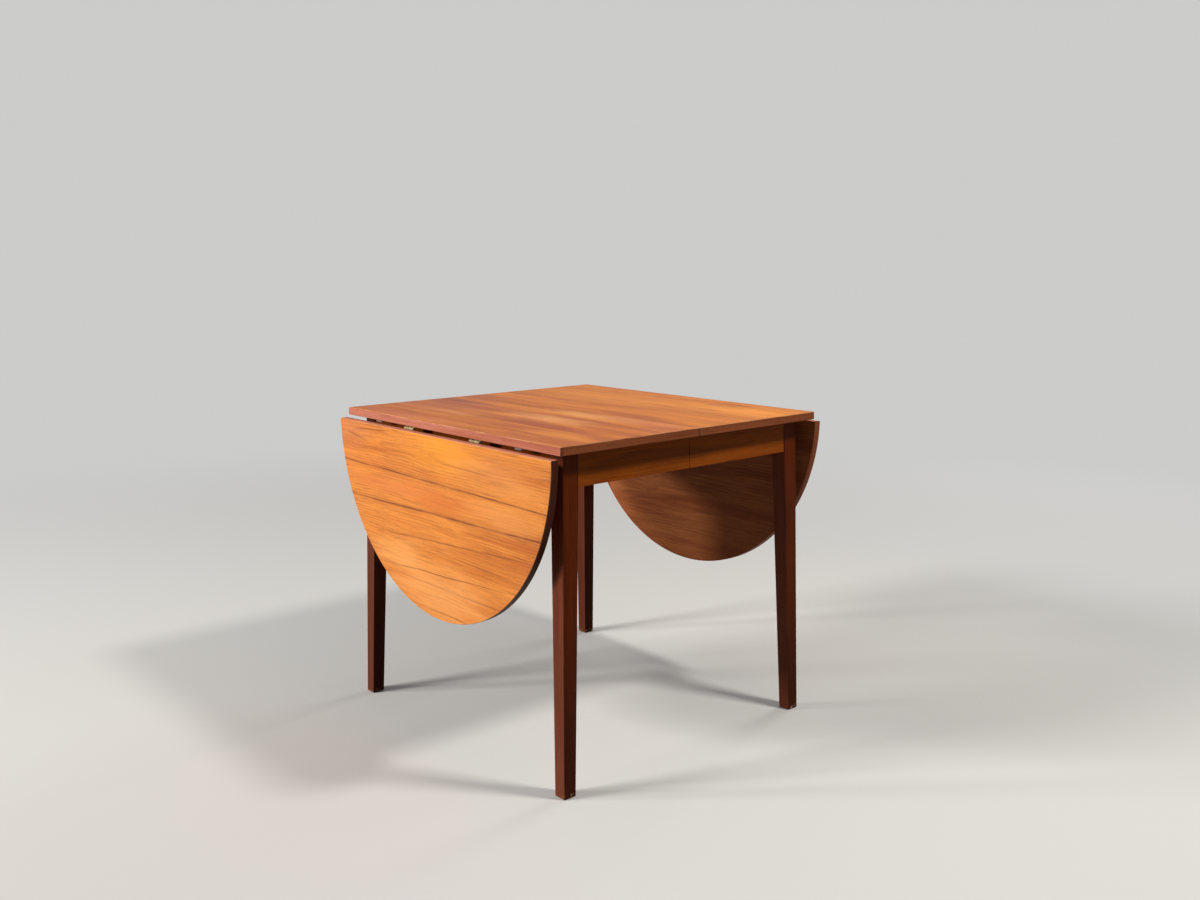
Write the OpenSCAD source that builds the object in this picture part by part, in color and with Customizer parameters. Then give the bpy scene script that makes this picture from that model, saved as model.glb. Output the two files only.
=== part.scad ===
// Extending dining table. Its square top is split across the middle, and the two halves
// slide apart on dovetailed runners. A half-round leaf hangs on hinges at each end, and
// flat steel bars pull out under it once it is raised.
// X runs from leaf to leaf, Y along the hinges and Z up. The origin is on the floor below
// the middle of the closed top. The table is drawn closed, with both leaves hanging.

/* [Top] */
// Height of the top above the floor
table_height = 730; // [690:1:780]
// Length of the closed top, from leaf to leaf
top_length = 804; // [770:2:900]
// Width of the top, along the hinges
top_width = 870; // [820:2:940]
// Thickness of the top and of the leaves
top_thickness = 19; // [17:0.5:25]
// Width of the solid wood lippings
lipping_width = 7; // [3:0.5:8]
// Radius of the arrises that hands touch
arris_radius = 1.5; // [0.5:0.25:2.5]
// Radius of the arrises at the split
split_arris = 0.4; // [0.2:0.1:1]
// Seam between the closed halves
seam = 0.4; // [0.2:0.1:1]

/* [Leaves] */
// How far inside the hinge line the centre of a leaf's arc lies
arc_inset = 15; // [0:1:40]
// Gap between a raised leaf and the top
leaf_gap = 0.5; // [0.3:0.1:1]
// Inward lean of a hanging leaf, in degrees
hang_lean = 2; // [0:0.5:4]

/* [Hinges] */
// Distance from the side edge of the top to the middle of a hinge
hinge_setback = 298; // [240:1:330]
// Length of a hinge along its pin
hinge_length = 40; // [35:1:60]
// Width of one plate, from the pin's axis
hinge_reach = 28; // [24:1:32]
// Thickness of the plates
plate_thickness = 1.8; // [1.5:0.1:2.4]
// Outer radius of the knuckles
knuckle_radius = 4.5; // [4:0.1:5.5]
// Radius of the hinge pins
hinge_pin_radius = 2; // [1.5:0.1:2.5]
// Room between the knuckles and the wood above them
knuckle_room = 0.8; // [0.6:0.1:1.5]

/* [Legs] */
// Width of a leg beside the aprons
leg_width = 42; // [38:1:48]
// Width of a leg at the floor
foot_width = 31; // [26:1:36]
// Overhang of the top past the legs
leg_inset = 32; // [28:1:40]
// Radius of the long edges of a leg
leg_rounding = 2; // [1:0.5:4]
// Bevel round the bottom of a foot
foot_bevel = 1.5; // [0.5:0.5:3]

/* [Aprons] */
// Height of the aprons
apron_height = 76; // [70:1:95]
// Thickness of the aprons
apron_thickness = 20; // [18:1:24]
// Step from the face of a leg back to the apron
apron_recess = 3; // [1:0.5:5]
// Seam between the side aprons of the closed halves
apron_seam = 1.6; // [0.4:0.1:3]
// Length of the tenons
tenon_length = 18; // [14:1:20]
// Thickness of the tenons
tenon_thickness = 8; // [6:1:9]
// Shoulder above and below each tenon
tenon_shoulder = 10; // [6:1:15]

/* [Runners] */
// How far the halves slide apart
extension = 450; // [300:10:450]
// Thickness of a runner
runner_thickness = 22; // [20:1:24]
// Height of a runner
runner_height = 48; // [46:1:52]
// Gap from a runner's free end to the far legs
runner_end_gap = 28; // [20:1:40]
// Running gap between two runners
slide_gap = 0.3; // [0.2:0.1:0.5]
// Height of the dovetail groove at its mouth
dovetail_mouth = 12; // [10:1:14]
// Depth of the dovetail groove
dovetail_depth = 8; // [6:0.5:9]
// Height that each flank gains over the depth
dovetail_flare = 3; // [2:0.5:4]
// Height of the groove's centre above the runner's underside
dovetail_height = 20; // [20:0.5:22]
// How far a free end stays clear of the other half
free_relief = 1; // [0.5:0.5:2]
// Radius of the stop pins
stop_pin_radius = 3; // [2.5:0.25:3.5]
// Distance of a stop pin from the free end of its runner
stop_pin_setback = 15; // [12:1:25]

/* [Leaf supports] */
// Distance from a tongued runner to the middle of a bar
bar_inset = 47.7; // [44:0.1:100]
// Width of a bar
bar_width = 25; // [20:1:30]
// Thickness of a bar
bar_thickness = 4; // [3:0.5:4.5]
// Distance of a pushed-in bar's outer end from the edge of the top
bar_setback = 2; // [1:0.5:6]
// Gap between the inner end of a pushed-in bar and the batten
bar_batten_gap = 14.7; // [10:0.1:40]
// Running gap above and below a bar
bar_gap = 0.3; // [0.2:0.05:0.4]
// Length of the wide head that stops a bar at its guide
bar_head_length = 12; // [8:1:16]
// How far the head stands out on each side of a bar
bar_head_lip = 3; // [2:0.5:4]
// Thickness of a bar guide
guide_thickness = 1.5; // [1:0.1:2]
// Width of a bar guide along the bar
guide_width = 15; // [12:1:18]
// Distance from the end apron to a bar guide
guide_setback = 40; // [5:1:60]
// Width of a guide's screw ears
guide_ear = 13; // [11:1:16]

/* [Inside pieces] */
// Width of the battens
batten_width = 25; // [20:1:30]
// Height of the battens
batten_height = 20; // [16:1:22]
// Distance from the split to a batten
batten_setback = 20; // [12:1:26]
// Length of a corner block along each apron, past the leg
block_reach = 45; // [40:1:60]
// Distance from the side edge of the top to the nearest dowel
dowel_setback = 135; // [80:1:250]
// Radius of the dowels
dowel_radius = 4; // [3:0.5:5]
// Length of a dowel inside the left half
dowel_hold = 20; // [15:1:30]
// Length of a dowel that stands out of the left half
dowel_reach = 12; // [8:1:16]

/* [Screws] */
// Radius of a frame screw's shank
frame_screw_radius = 1.75; // [1.5:0.05:2]
// Length of a frame screw under its head
frame_screw_length = 25; // [22:1:26]
// Length of a frame screw inside the wood that it holds
frame_screw_bite = 13; // [10:0.5:14]
// Radius of a frame screw's head
frame_head_radius = 3.4; // [3:0.1:3.6]
// Height of a frame screw's head
frame_head_height = 2.2; // [1.8:0.1:2.6]
// Radius of a small screw's shank
small_screw_radius = 1.4; // [1.2:0.05:1.6]
// Length of a small screw
small_screw_length = 12; // [10:0.5:14]
// Radius of a small screw's countersunk head
small_head_radius = 2.8; // [2.4:0.1:3]
// Length of the point of a screw
screw_point = 3; // [2:0.5:4]
// Width of the slot in a screw's head
screw_slot = 0.8; // [0.6:0.1:1]

/* [Hidden] */
LEFT = -1;
RIGHT = 1;
FRONT = -1;
BACK = 1;

// Clearances
fit_gap = 0.1;
glue_gap = 0.05;
pin_gap = 0.05;
split_gap = seam / 2;
end_gap = 0.5;
// Length by which a cut runs past the face that it opens
over = 1;
// Radius of the tip of a screw, and how much of a head's height its slot cuts
tip_radius = 0.3;
slot_share = 0.45;
// Distance from a screw's head to the nearest edge of its piece
head_edge = 3;

// Top
half_length = top_length / 2;
half_width = top_width / 2;
underside = table_height - top_thickness;

// Legs and aprons, all for the left half and the back row
leg_x = half_length - leg_inset;
leg_y = half_width - leg_inset;
leg_inner_x = leg_x - leg_width;
leg_inner_y = leg_y - leg_width;
apron_bottom = underside - apron_height;
end_apron_x = leg_x - apron_recess;
end_apron_inner_x = end_apron_x - apron_thickness;
side_apron_y = leg_y - apron_recess;
side_apron_inner_y = side_apron_y - apron_thickness;

// Runners, from the side apron inwards
groove_face_y = side_apron_inner_y - runner_thickness;
tongue_face_y = groove_face_y - slide_gap;
tongue_back_y = tongue_face_y - runner_thickness;
runner_bottom = underside - runner_height;
dovetail_z = runner_bottom + dovetail_height;
runner_reach = leg_inner_x - runner_end_gap;
stop_pin_x = runner_reach - stop_pin_setback;
stop_pin_depth = runner_thickness / 3;
// The stop pin runs halfway between the groove and the top of the free end
groove_top = dovetail_z + dovetail_mouth / 2 + dovetail_flare;
stop_pin_z = (groove_top + underside - free_relief) / 2;
slot_gap = 0.3;
slot_depth = stop_pin_depth + slot_gap;

// Leaves, drawn raised and then swung down
hinge_x = half_length + leaf_gap / 2;
hinge_y = half_width - hinge_setback;
hinge_drop = knuckle_radius + knuckle_room;
hinge_z = underside - hinge_drop;
leaf_edge_x = half_length + leaf_gap;
arc_radius = half_width;
arc_x = leaf_edge_x - arc_inset;
corner_y = sqrt(pow(arc_radius, 2) - pow(arc_inset, 2));
inner_corner_y = sqrt(pow(arc_radius - lipping_width, 2) - pow(arc_inset + lipping_width, 2));

// Hinges
knuckles = 5;
knuckle_length = hinge_length / knuckles;
knuckle_end_gap = 0.15;
plate_edge = knuckle_radius + 0.5;
plate_corner = 3;
screw_margin = small_head_radius + head_edge + 1;
screw_near_x = plate_edge + small_head_radius + 1;
screw_far_x = hinge_reach - small_head_radius - head_edge;
small_head_height = small_head_radius - small_screw_radius;

// Leaf supports
bar_y = tongue_back_y - bar_inset;
bar_top = underside - bar_gap;
bar_bottom = bar_top - bar_thickness;
bar_outer_x = half_length - bar_setback;
bar_inner_x = batten_setback + batten_width + bar_batten_gap;
// A bar pulls out until its head meets the guide: 220 mm with the sizes above
guide_x = end_apron_inner_x - guide_setback - guide_width;
guide_side_gap = 0.5;
guide_depth = bar_thickness + 2 * bar_gap;

// Inside pieces
batten_y = tongue_back_y - 1.5;
block_gap = 2;
block_bottom = apron_bottom + block_gap + 1;
block_top = runner_bottom - block_gap;
block_z = (block_bottom + block_top) / 2;
frame_hole_radius = frame_screw_radius + 0.15;
// Thickness of wood between a frame screw's head and the wood that it holds
frame_screw_seat = frame_screw_length - frame_screw_bite;
// Where the screws of the runners stand, as shares of the length from the split to the leg
runner_screw_shares = [0.15, 0.5, 0.85];
frame_head_hole_radius = frame_head_radius + 0.3;

WOOD_TOP = [0.78, 0.48, 0.27];
WOOD_LEAF = [0.90, 0.55, 0.28];
WOOD_EDGE = [0.66, 0.38, 0.28];
WOOD_FRAME = [0.42, 0.20, 0.12];
WOOD_INSIDE = [0.76, 0.62, 0.44];
BRASS = [0.78, 0.64, 0.34];
STEEL = [0.72, 0.72, 0.72];

// Every piece is drawn for the left half and the back row. This turns it to its own place.
module place(side, row = BACK) {
    mirror([side == RIGHT ? 1 : 0, 0, 0])
        mirror([0, row == FRONT ? 1 : 0, 0])
            children();
}

// Swings a raised leaf piece of the left half down to where it hangs
module hang() {
    translate([-hinge_x, 0, hinge_z])
        rotate([0, -90 - hang_lean, 0])
            translate([hinge_x, 0, -hinge_z])
                children();
}

// Extrudes an outline drawn in Y and Z along X
module along_x(from, to) {
    translate([from, 0, 0])
        rotate([90, 0, 90])
            linear_extrude(height = to - from)
                children();
}

// Points of an arc, in equal steps
function arc(x, y, radius, from, to, steps = 6) = [
    for (i = [0:steps])
        let (a = from + (to - from) * i / steps)
        [x + radius * cos(a), y + radius * sin(a)]
];

// Cross-section of a lipping: its outer face is at x = 0, and both outer arrises are round
function lipping_profile(radius) = concat(
    [[lipping_width, 0]],
    arc(radius, radius, radius, 270, 180),
    arc(radius, top_thickness - radius, radius, 180, 90),
    [[lipping_width, top_thickness]]
);

// Rectangle with round corners, from one corner to the opposite one
function rounded_box(x0, y0, x1, y1, radius) = concat(
    arc(x1 - radius, y1 - radius, radius, 0, 90),
    arc(x0 + radius, y1 - radius, radius, 90, 180),
    arc(x0 + radius, y0 + radius, radius, 180, 270),
    arc(x1 - radius, y0 + radius, radius, 270, 360)
);

// Frame screw that points up, with the underside of its slotted head at z = 0
module frame_screw() {
    difference() {
        union() {
            translate([0, 0, -frame_head_height])
                cylinder(r = frame_head_radius, h = frame_head_height, $fn = 32);
            cylinder(r = frame_screw_radius, h = frame_screw_length - screw_point, $fn = 24);
            translate([0, 0, frame_screw_length - screw_point])
                cylinder(r1 = frame_screw_radius, r2 = tip_radius, h = screw_point, $fn = 24);
        }
        translate([-frame_head_radius - over, -screw_slot / 2, -frame_head_height - over])
            cube([
                2 * (frame_head_radius + over), screw_slot, over + slot_share * frame_head_height
            ]);
    }
}

// Hole for a frame screw: its shank above z = 0 and room for its head below
module frame_screw_hole(shank, head) {
    cylinder(r = frame_hole_radius, h = shank, $fn = 32);
    translate([0, 0, -head])
        cylinder(r = frame_head_hole_radius, h = head, $fn = 32);
}

// Small countersunk screw that points up, with the face of its head at z = 0
module small_screw() {
    difference() {
        union() {
            cylinder(r1 = small_head_radius, r2 = small_screw_radius, h = small_head_height, $fn = 32);
            cylinder(r = small_screw_radius, h = small_screw_length - screw_point, $fn = 24);
            translate([0, 0, small_screw_length - screw_point])
                cylinder(r1 = small_screw_radius, r2 = tip_radius, h = screw_point, $fn = 24);
        }
        translate([-small_head_radius - over, -screw_slot / 2, -over])
            cube([2 * (small_head_radius + over), screw_slot, over + slot_share * small_head_height]);
    }
}

// Countersunk hole for a small screw, through a sheet whose lower face is at z = 0
module small_screw_hole(thickness) {
    cylinder(
        r1 = small_head_radius + glue_gap, r2 = small_screw_radius + glue_gap,
        h = small_head_height, $fn = 32
    );
    translate([0, 0, -over])
        cylinder(r = small_screw_radius + glue_gap, h = thickness + 2 * over, $fn = 32);
}

// Where the dowels stand, on the middle of the top's thickness
module at_dowels() {
    outer = half_width - dowel_setback;
    for (y = [-outer, 0, outer])
        translate([0, y, underside + top_thickness / 2])
            rotate([0, -90, 0])
                children();
}

// Dowel holes of one half, drawn for the left: tight there and running on the right
module dowel_holes(side) {
    radius = side == LEFT ? dowel_radius + glue_gap : dowel_radius + fit_gap;
    depth = side == LEFT ? dowel_hold : dowel_reach + over;
    at_dowels()
        translate([0, 0, -over])
            cylinder(r = radius, h = depth + split_gap + over, $fn = 32);
}

module top_panel(side) {
    color(WOOD_TOP)
        place(side)
            difference() {
                translate([lipping_width - half_length, lipping_width - half_width, underside])
                    cube([
                        half_length - split_gap - 2 * lipping_width,
                        top_width - 2 * lipping_width,
                        top_thickness
                    ]);
                dowel_holes(side);
            }
}

// Lipping along Y, with its outer face at x = 0. It runs through to both side edges of the
// top, so that its end grain shows there, and its ends have the same arrises as they have.
module cross_lipping(radius) {
    intersection() {
        translate([0, 0, underside])
            rotate([90, 0, 0])
                linear_extrude(height = top_width, center = true)
                    polygon(lipping_profile(radius));
        along_x(-over, lipping_width + over)
            polygon(rounded_box(-half_width, underside, half_width, table_height, arris_radius));
    }
}

module outer_lipping(side) {
    color(WOOD_EDGE)
        place(side)
            translate([-half_length, 0, 0])
                cross_lipping(arris_radius);
}

module inner_lipping(side) {
    color(WOOD_EDGE)
        place(side)
            difference() {
                translate([-split_gap, 0, 0])
                    mirror([1, 0, 0])
                        cross_lipping(split_arris);
                dowel_holes(side);
            }
}

// Lipping of a side edge, between the outer and the inner one
module side_lipping(side, row) {
    color(WOOD_EDGE)
        place(side, row)
            translate([lipping_width - half_length, half_width, underside])
                rotate([90, 0, 90])
                    linear_extrude(height = half_length - split_gap - 2 * lipping_width)
                        mirror([1, 0])
                            polygon(lipping_profile(arris_radius));
}

// Section of a leg, with its two outer faces always in the same planes
module leg_section(width, z, inset = 0) {
    translate([-leg_x, leg_y, z])
        linear_extrude(height = 0.01)
            polygon(rounded_box(inset, inset - width, width - inset, -inset, leg_rounding));
}

// Box that a tenon fills, or with a gap around it the mortise that takes it
module side_tenon(gap = 0) {
    middle_y = side_apron_y - apron_thickness / 2;
    translate([
        -leg_inner_x - tenon_length - gap,
        middle_y - tenon_thickness / 2 - gap,
        apron_bottom + tenon_shoulder - gap
    ])
        cube([
            tenon_length + over + gap,
            tenon_thickness + 2 * gap,
            apron_height - 2 * tenon_shoulder + 2 * gap
        ]);
}

module end_tenon(gap = 0) {
    middle_x = end_apron_x - apron_thickness / 2;
    translate([
        -middle_x - tenon_thickness / 2 - gap,
        leg_inner_y - over,
        apron_bottom + tenon_shoulder - gap
    ])
        cube([
            tenon_thickness + 2 * gap,
            tenon_length + over + gap,
            apron_height - 2 * tenon_shoulder + 2 * gap
        ]);
}

module leg(side, row) {
    color(WOOD_FRAME)
        place(side, row)
            difference() {
                union() {
                    translate([-leg_x, leg_y, apron_bottom])
                        linear_extrude(height = apron_height)
                            polygon(rounded_box(0, -leg_width, leg_width, 0, leg_rounding));
                    hull() {
                        leg_section(foot_width, 0, foot_bevel);
                        leg_section(foot_width, foot_bevel);
                        leg_section(leg_width, apron_bottom);
                    }
                }
                side_tenon(fit_gap);
                end_tenon(fit_gap);
            }
}

// Screws up through the aprons into the top: one in each side apron, two in an end apron
module at_side_apron_screw() {
    translate([-leg_inner_x * 0.3, side_apron_y - apron_thickness / 2, underside - frame_screw_seat])
        children();
}

module at_end_apron_screws() {
    for (y = [-0.75, 0.75])
        translate([apron_thickness / 2 - end_apron_x, y * bar_y, underside - frame_screw_seat])
            children();
}

module side_apron(side, row) {
    color(WOOD_FRAME)
        place(side, row)
            difference() {
                union() {
                    translate([-leg_inner_x, side_apron_inner_y, apron_bottom])
                        cube([leg_inner_x - apron_seam / 2, apron_thickness, apron_height]);
                    side_tenon();
                }
                at_side_apron_screw()
                    frame_screw_hole(frame_screw_seat + over, apron_height);
            }
}

module end_apron(side) {
    notch_width = bar_width + 2 * guide_side_gap;
    color(WOOD_FRAME)
        place(side)
            difference() {
                union() {
                    translate([-end_apron_x, -leg_inner_y, apron_bottom])
                        cube([apron_thickness, 2 * leg_inner_y, apron_height]);
                    end_tenon();
                    mirror([0, 1, 0])
                        end_tenon();
                }
                for (y = [-bar_y, bar_y])
                    translate([-end_apron_x - over, y - notch_width / 2, underside - guide_depth])
                        cube([apron_thickness + 2 * over, notch_width, guide_depth + over]);
                at_end_apron_screws()
                    frame_screw_hole(frame_screw_seat + over, apron_height);
            }
}

// Screws of a corner block: one into each apron, square to it
module at_block_screws() {
    setback = block_reach * 0.62;
    translate([-leg_inner_x + setback, side_apron_inner_y - frame_screw_seat, block_z])
        rotate([-90, 0, 0])
            children();
    translate([-end_apron_inner_x + frame_screw_seat, leg_inner_y - setback, block_z])
        rotate([0, -90, 0])
            children();
}

module corner_block(side, row) {
    color(WOOD_INSIDE)
        place(side, row)
            difference() {
                translate([0, 0, block_bottom])
                    linear_extrude(height = block_top - block_bottom)
                        polygon([
                            [-end_apron_inner_x, leg_inner_y],
                            [-leg_inner_x, leg_inner_y],
                            [-leg_inner_x, side_apron_inner_y],
                            [block_reach - leg_inner_x, side_apron_inner_y],
                            [-end_apron_inner_x, leg_inner_y - block_reach]
                        ]);
                at_block_screws()
                    frame_screw_hole(frame_screw_seat + over, block_reach);
            }
}

// Screws of a grooved runner into the side apron, under the groove
module at_grooved_screws() {
    z = (runner_bottom + dovetail_z - dovetail_mouth / 2 - dovetail_flare) / 2;
    for (share = runner_screw_shares)
        translate([-leg_inner_x * share, side_apron_inner_y - frame_screw_seat, z])
            rotate([-90, 0, 0])
                children();
}

// Screws of a tongued runner, up into the top, drawn for the left half
module at_tongued_screws() {
    y = tongue_back_y + frame_head_hole_radius + head_edge;
    for (share = runner_screw_shares)
        translate([-leg_inner_x * share, y, underside - frame_screw_seat])
            children();
}

// Runner of the left half: fixed to the apron and top there, free under the right half
module grooved_runner(row) {
    color(WOOD_INSIDE)
        place(LEFT, row)
            difference() {
                union() {
                    along_x(end_gap - leg_inner_x, -split_gap)
                        translate([groove_face_y, runner_bottom])
                            square([runner_thickness, runner_height]);
                    along_x(-split_gap - over, runner_reach)
                        translate([groove_face_y, runner_bottom])
                            square([runner_thickness - free_relief, runner_height - free_relief]);
                }
                along_x(-leg_x, leg_x)
                    translate([groove_face_y, dovetail_z])
                        polygon([
                            [-over, -dovetail_mouth / 2],
                            [0, -dovetail_mouth / 2],
                            [dovetail_depth, -dovetail_mouth / 2 - dovetail_flare],
                            [dovetail_depth, dovetail_mouth / 2 + dovetail_flare],
                            [0, dovetail_mouth / 2],
                            [-over, dovetail_mouth / 2]
                        ]);
                translate([stop_pin_x, groove_face_y - over, stop_pin_z])
                    rotate([-90, 0, 0])
                        cylinder(r = stop_pin_radius + pin_gap, h = runner_thickness + 2 * over, $fn = 32);
                at_grooved_screws()
                    frame_screw_hole(runner_thickness, runner_thickness);
            }
}

// Runner of the right half, whose tongue slides in the groove. It is drawn where it stands,
// with its fixed end on the right.
module tongued_runner(row) {
    tip = dovetail_depth - slide_gap;
    root_half = dovetail_mouth / 2 - slide_gap - fit_gap;
    tip_half = root_half + dovetail_flare;
    color(WOOD_INSIDE)
        place(LEFT, row)
            difference() {
                union() {
                    along_x(split_gap, leg_inner_x - end_gap)
                        translate([tongue_back_y, runner_bottom])
                            square([runner_thickness, runner_height]);
                    along_x(-runner_reach, split_gap + over)
                        translate([tongue_back_y, runner_bottom])
                            square([runner_thickness, runner_height - free_relief]);
                    along_x(-runner_reach, leg_inner_x - end_gap)
                        translate([groove_face_y, dovetail_z])
                            polygon([
                                [-slide_gap - over, -root_half],
                                [-slide_gap, -root_half],
                                [tip, -tip_half],
                                [tip, tip_half],
                                [-slide_gap, root_half],
                                [-slide_gap - over, root_half]
                            ]);
                }
                stop_slot();
                mirror([1, 0, 0])
                    at_tongued_screws()
                        frame_screw_hole(frame_screw_seat + over, runner_height);
            }
}

// Slot that the stop pin runs in. Its two ends stop the slide shut and fully open.
module stop_slot() {
    radius = stop_pin_radius + slot_gap;
    start = stop_pin_x - extension;
    translate([0, tongue_face_y - slot_depth, stop_pin_z]) {
        for (x = [start, stop_pin_x])
            translate([x, 0, 0])
                rotate([-90, 0, 0])
                    cylinder(r = radius, h = slot_depth + over, $fn = 32);
        translate([start, 0, -radius])
            cube([extension, slot_depth + over, 2 * radius]);
    }
}

module stop_pins() {
    length = runner_thickness - free_relief + slide_gap + stop_pin_depth;
    color(STEEL)
        for (row = [FRONT, BACK])
            place(LEFT, row)
                translate([stop_pin_x, tongue_face_y - stop_pin_depth, stop_pin_z])
                    rotate([-90, 0, 0])
                        cylinder(r = stop_pin_radius, h = length, $fn = 32);
}

module at_batten_screws() {
    for (y = [-0.85, 0, 0.85])
        translate([-batten_setback - batten_width / 2, y * batten_y, underside - frame_screw_seat])
            children();
}

module batten(side) {
    color(WOOD_INSIDE)
        place(side)
            difference() {
                translate([-batten_setback - batten_width, -batten_y, underside - batten_height])
                    cube([batten_width, 2 * batten_y, batten_height]);
                at_batten_screws()
                    frame_screw_hole(frame_screw_seat + over, batten_height);
            }
}

module dowels() {
    color(WOOD_INSIDE)
        at_dowels()
            translate([0, 0, -dowel_reach])
                cylinder(r = dowel_radius, h = dowel_reach + dowel_hold, $fn = 32);
}

// Flat bar with round outer corners, and a wide head that stops it at its guide
module support_bar(side, row) {
    half = bar_width / 2;
    head_half = half + bar_head_lip;
    head_x = bar_inner_x + bar_head_length;
    corner = 4;
    color(STEEL)
        place(side, row)
            translate([0, bar_y, bar_bottom])
                linear_extrude(height = bar_thickness)
                    polygon(concat(
                        arc(corner - bar_outer_x, half - corner, corner, 90, 180),
                        arc(corner - bar_outer_x, corner - half, corner, 180, 270),
                        [[-head_x, -half], [-head_x, -head_half], [-bar_inner_x, -head_half]],
                        [[-bar_inner_x, head_half], [-head_x, head_half], [-head_x, half]]
                    ));
}

module at_guide_screws() {
    outer = bar_width / 2 + guide_side_gap + guide_thickness + guide_ear / 2;
    for (row = [FRONT, BACK])
        for (y = [bar_y - outer, bar_y + outer])
            translate([-guide_x - guide_width / 2, row * y, underside - guide_thickness])
                children();
}

// Bent strap that holds a bar up under the top, with a screw in each ear
module bar_guides(side) {
    channel = bar_width / 2 + guide_side_gap;
    wall = channel + guide_thickness;
    color(STEEL)
        place(side)
            difference() {
                for (y = [-bar_y, bar_y])
                    along_x(-guide_x - guide_width, -guide_x)
                        translate([y, underside])
                            polygon([
                                [-wall - guide_ear, 0], [-channel, 0],
                                [-channel, -guide_depth], [channel, -guide_depth],
                                [channel, 0], [wall + guide_ear, 0],
                                [wall + guide_ear, -guide_thickness], [wall, -guide_thickness],
                                [wall, -guide_depth - guide_thickness],
                                [-wall, -guide_depth - guide_thickness],
                                [-wall, -guide_thickness], [-wall - guide_ear, -guide_thickness]
                            ]);
                at_guide_screws()
                    small_screw_hole(guide_thickness);
            }
}

// One half of a hinge, with its pin along Y through the origin and its plate towards +X.
// The listed knuckles are its own, and the plate is cut back beside the others.
module hinge_half(own) {
    plate_z = hinge_drop - plate_thickness;
    difference() {
        union() {
            translate([0, 0, plate_z])
                linear_extrude(height = plate_thickness)
                    polygon(concat(
                        [[plate_edge, hinge_length / 2]],
                        [[plate_edge, -hinge_length / 2]],
                        arc(hinge_reach - plate_corner, plate_corner - hinge_length / 2,
                            plate_corner, -90, 0),
                        arc(hinge_reach - plate_corner, hinge_length / 2 - plate_corner,
                            plate_corner, 0, 90)
                    ));
            for (i = own)
                translate([0, (i - knuckles / 2) * knuckle_length + knuckle_end_gap, 0]) {
                    translate([knuckle_end_gap, 0, plate_z])
                        cube([
                            plate_edge, knuckle_length - 2 * knuckle_end_gap, plate_thickness
                        ]);
                    rotate([-90, 0, 0])
                        cylinder(
                            r = knuckle_radius, h = knuckle_length - 2 * knuckle_end_gap, $fn = 48
                        );
                }
        }
        translate([0, -hinge_length / 2 - over, 0])
            rotate([-90, 0, 0])
                cylinder(r = hinge_pin_radius + pin_gap, h = hinge_length + 2 * over, $fn = 32);
        at_plate_screws()
            small_screw_hole(plate_thickness);
    }
}

// Three screws of a plate: two beside the knuckles and one near the far edge
module at_plate_screws() {
    for (at = [
        [screw_near_x, screw_margin - hinge_length / 2],
        [screw_near_x, hinge_length / 2 - screw_margin],
        [screw_far_x, 0]
    ])
        translate([at[0], at[1], hinge_drop - plate_thickness])
            children();
}

// Puts a hinge piece on the hinge line of the left half
module at_hinge(y) {
    translate([-hinge_x, y, hinge_z])
        children();
}

module hinge_plate(side, row) {
    color(BRASS)
        place(side, row)
            at_hinge(hinge_y)
                hinge_half([0, 2, 4]);
}

module leaf_hinge_plate(side, row) {
    color(BRASS)
        place(side, row)
            hang()
                at_hinge(hinge_y)
                    mirror([1, 0, 0])
                        hinge_half([1, 3]);
}

module hinge_pins(side) {
    color(BRASS)
        place(side)
            for (y = [-hinge_y, hinge_y])
                at_hinge(y)
                    rotate([90, 0, 0])
                        cylinder(r = hinge_pin_radius, h = hinge_length, center = true, $fn = 32);
}

module small_screws(side) {
    color(BRASS)
        place(side) {
            for (row = [FRONT, BACK])
                place(LEFT, row)
                    at_hinge(hinge_y)
                        at_plate_screws()
                            small_screw();
            at_guide_screws()
                small_screw();
        }
}

module leaf_screws(side) {
    color(BRASS)
        place(side)
            hang()
                for (row = [FRONT, BACK])
                    place(LEFT, row)
                        at_hinge(hinge_y)
                            mirror([1, 0, 0])
                                at_plate_screws()
                                    small_screw();
}

module frame_screws(side) {
    color(STEEL)
        place(side) {
            for (row = [FRONT, BACK])
                place(LEFT, row) {
                    at_block_screws()
                        frame_screw();
                    at_side_apron_screw()
                        frame_screw();
                    if (side == LEFT)
                        at_grooved_screws()
                            frame_screw();
                    else
                        at_tongued_screws()
                            frame_screw();
                }
            at_end_apron_screws()
                frame_screw();
            at_batten_screws()
                frame_screw();
        }
}

module leaf_panel(side) {
    radius = arc_radius - lipping_width - glue_gap;
    color(WOOD_LEAF)
        place(side)
            hang()
                translate([0, 0, underside])
                    intersection() {
                        translate([-arc_x, 0, 0])
                            cylinder(r = radius, h = top_thickness, $fn = 240);
                        translate([-leaf_edge_x - lipping_width - arc_radius, -arc_radius, 0])
                            cube([arc_radius, 2 * arc_radius, top_thickness]);
                    }
}

// Plan of a leaf's straight lipping, mitred to the curved one
module leaf_hinge_plan() {
    inner_x = -leaf_edge_x - lipping_width;
    translate([0, 0, underside])
        linear_extrude(height = top_thickness)
            polygon([
                [-leaf_edge_x, -corner_y], [inner_x, -inner_corner_y],
                [inner_x, inner_corner_y], [-leaf_edge_x, corner_y]
            ]);
}

module leaf_hinge_lipping(side) {
    color(WOOD_EDGE)
        place(side)
            hang()
                intersection() {
                    leaf_hinge_plan();
                    translate([-leaf_edge_x, 0, underside])
                        mirror([1, 0, 0])
                            rotate([90, 0, 0])
                                linear_extrude(height = 2 * corner_y, center = true)
                                    polygon(lipping_profile(arris_radius));
                }
}

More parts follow.
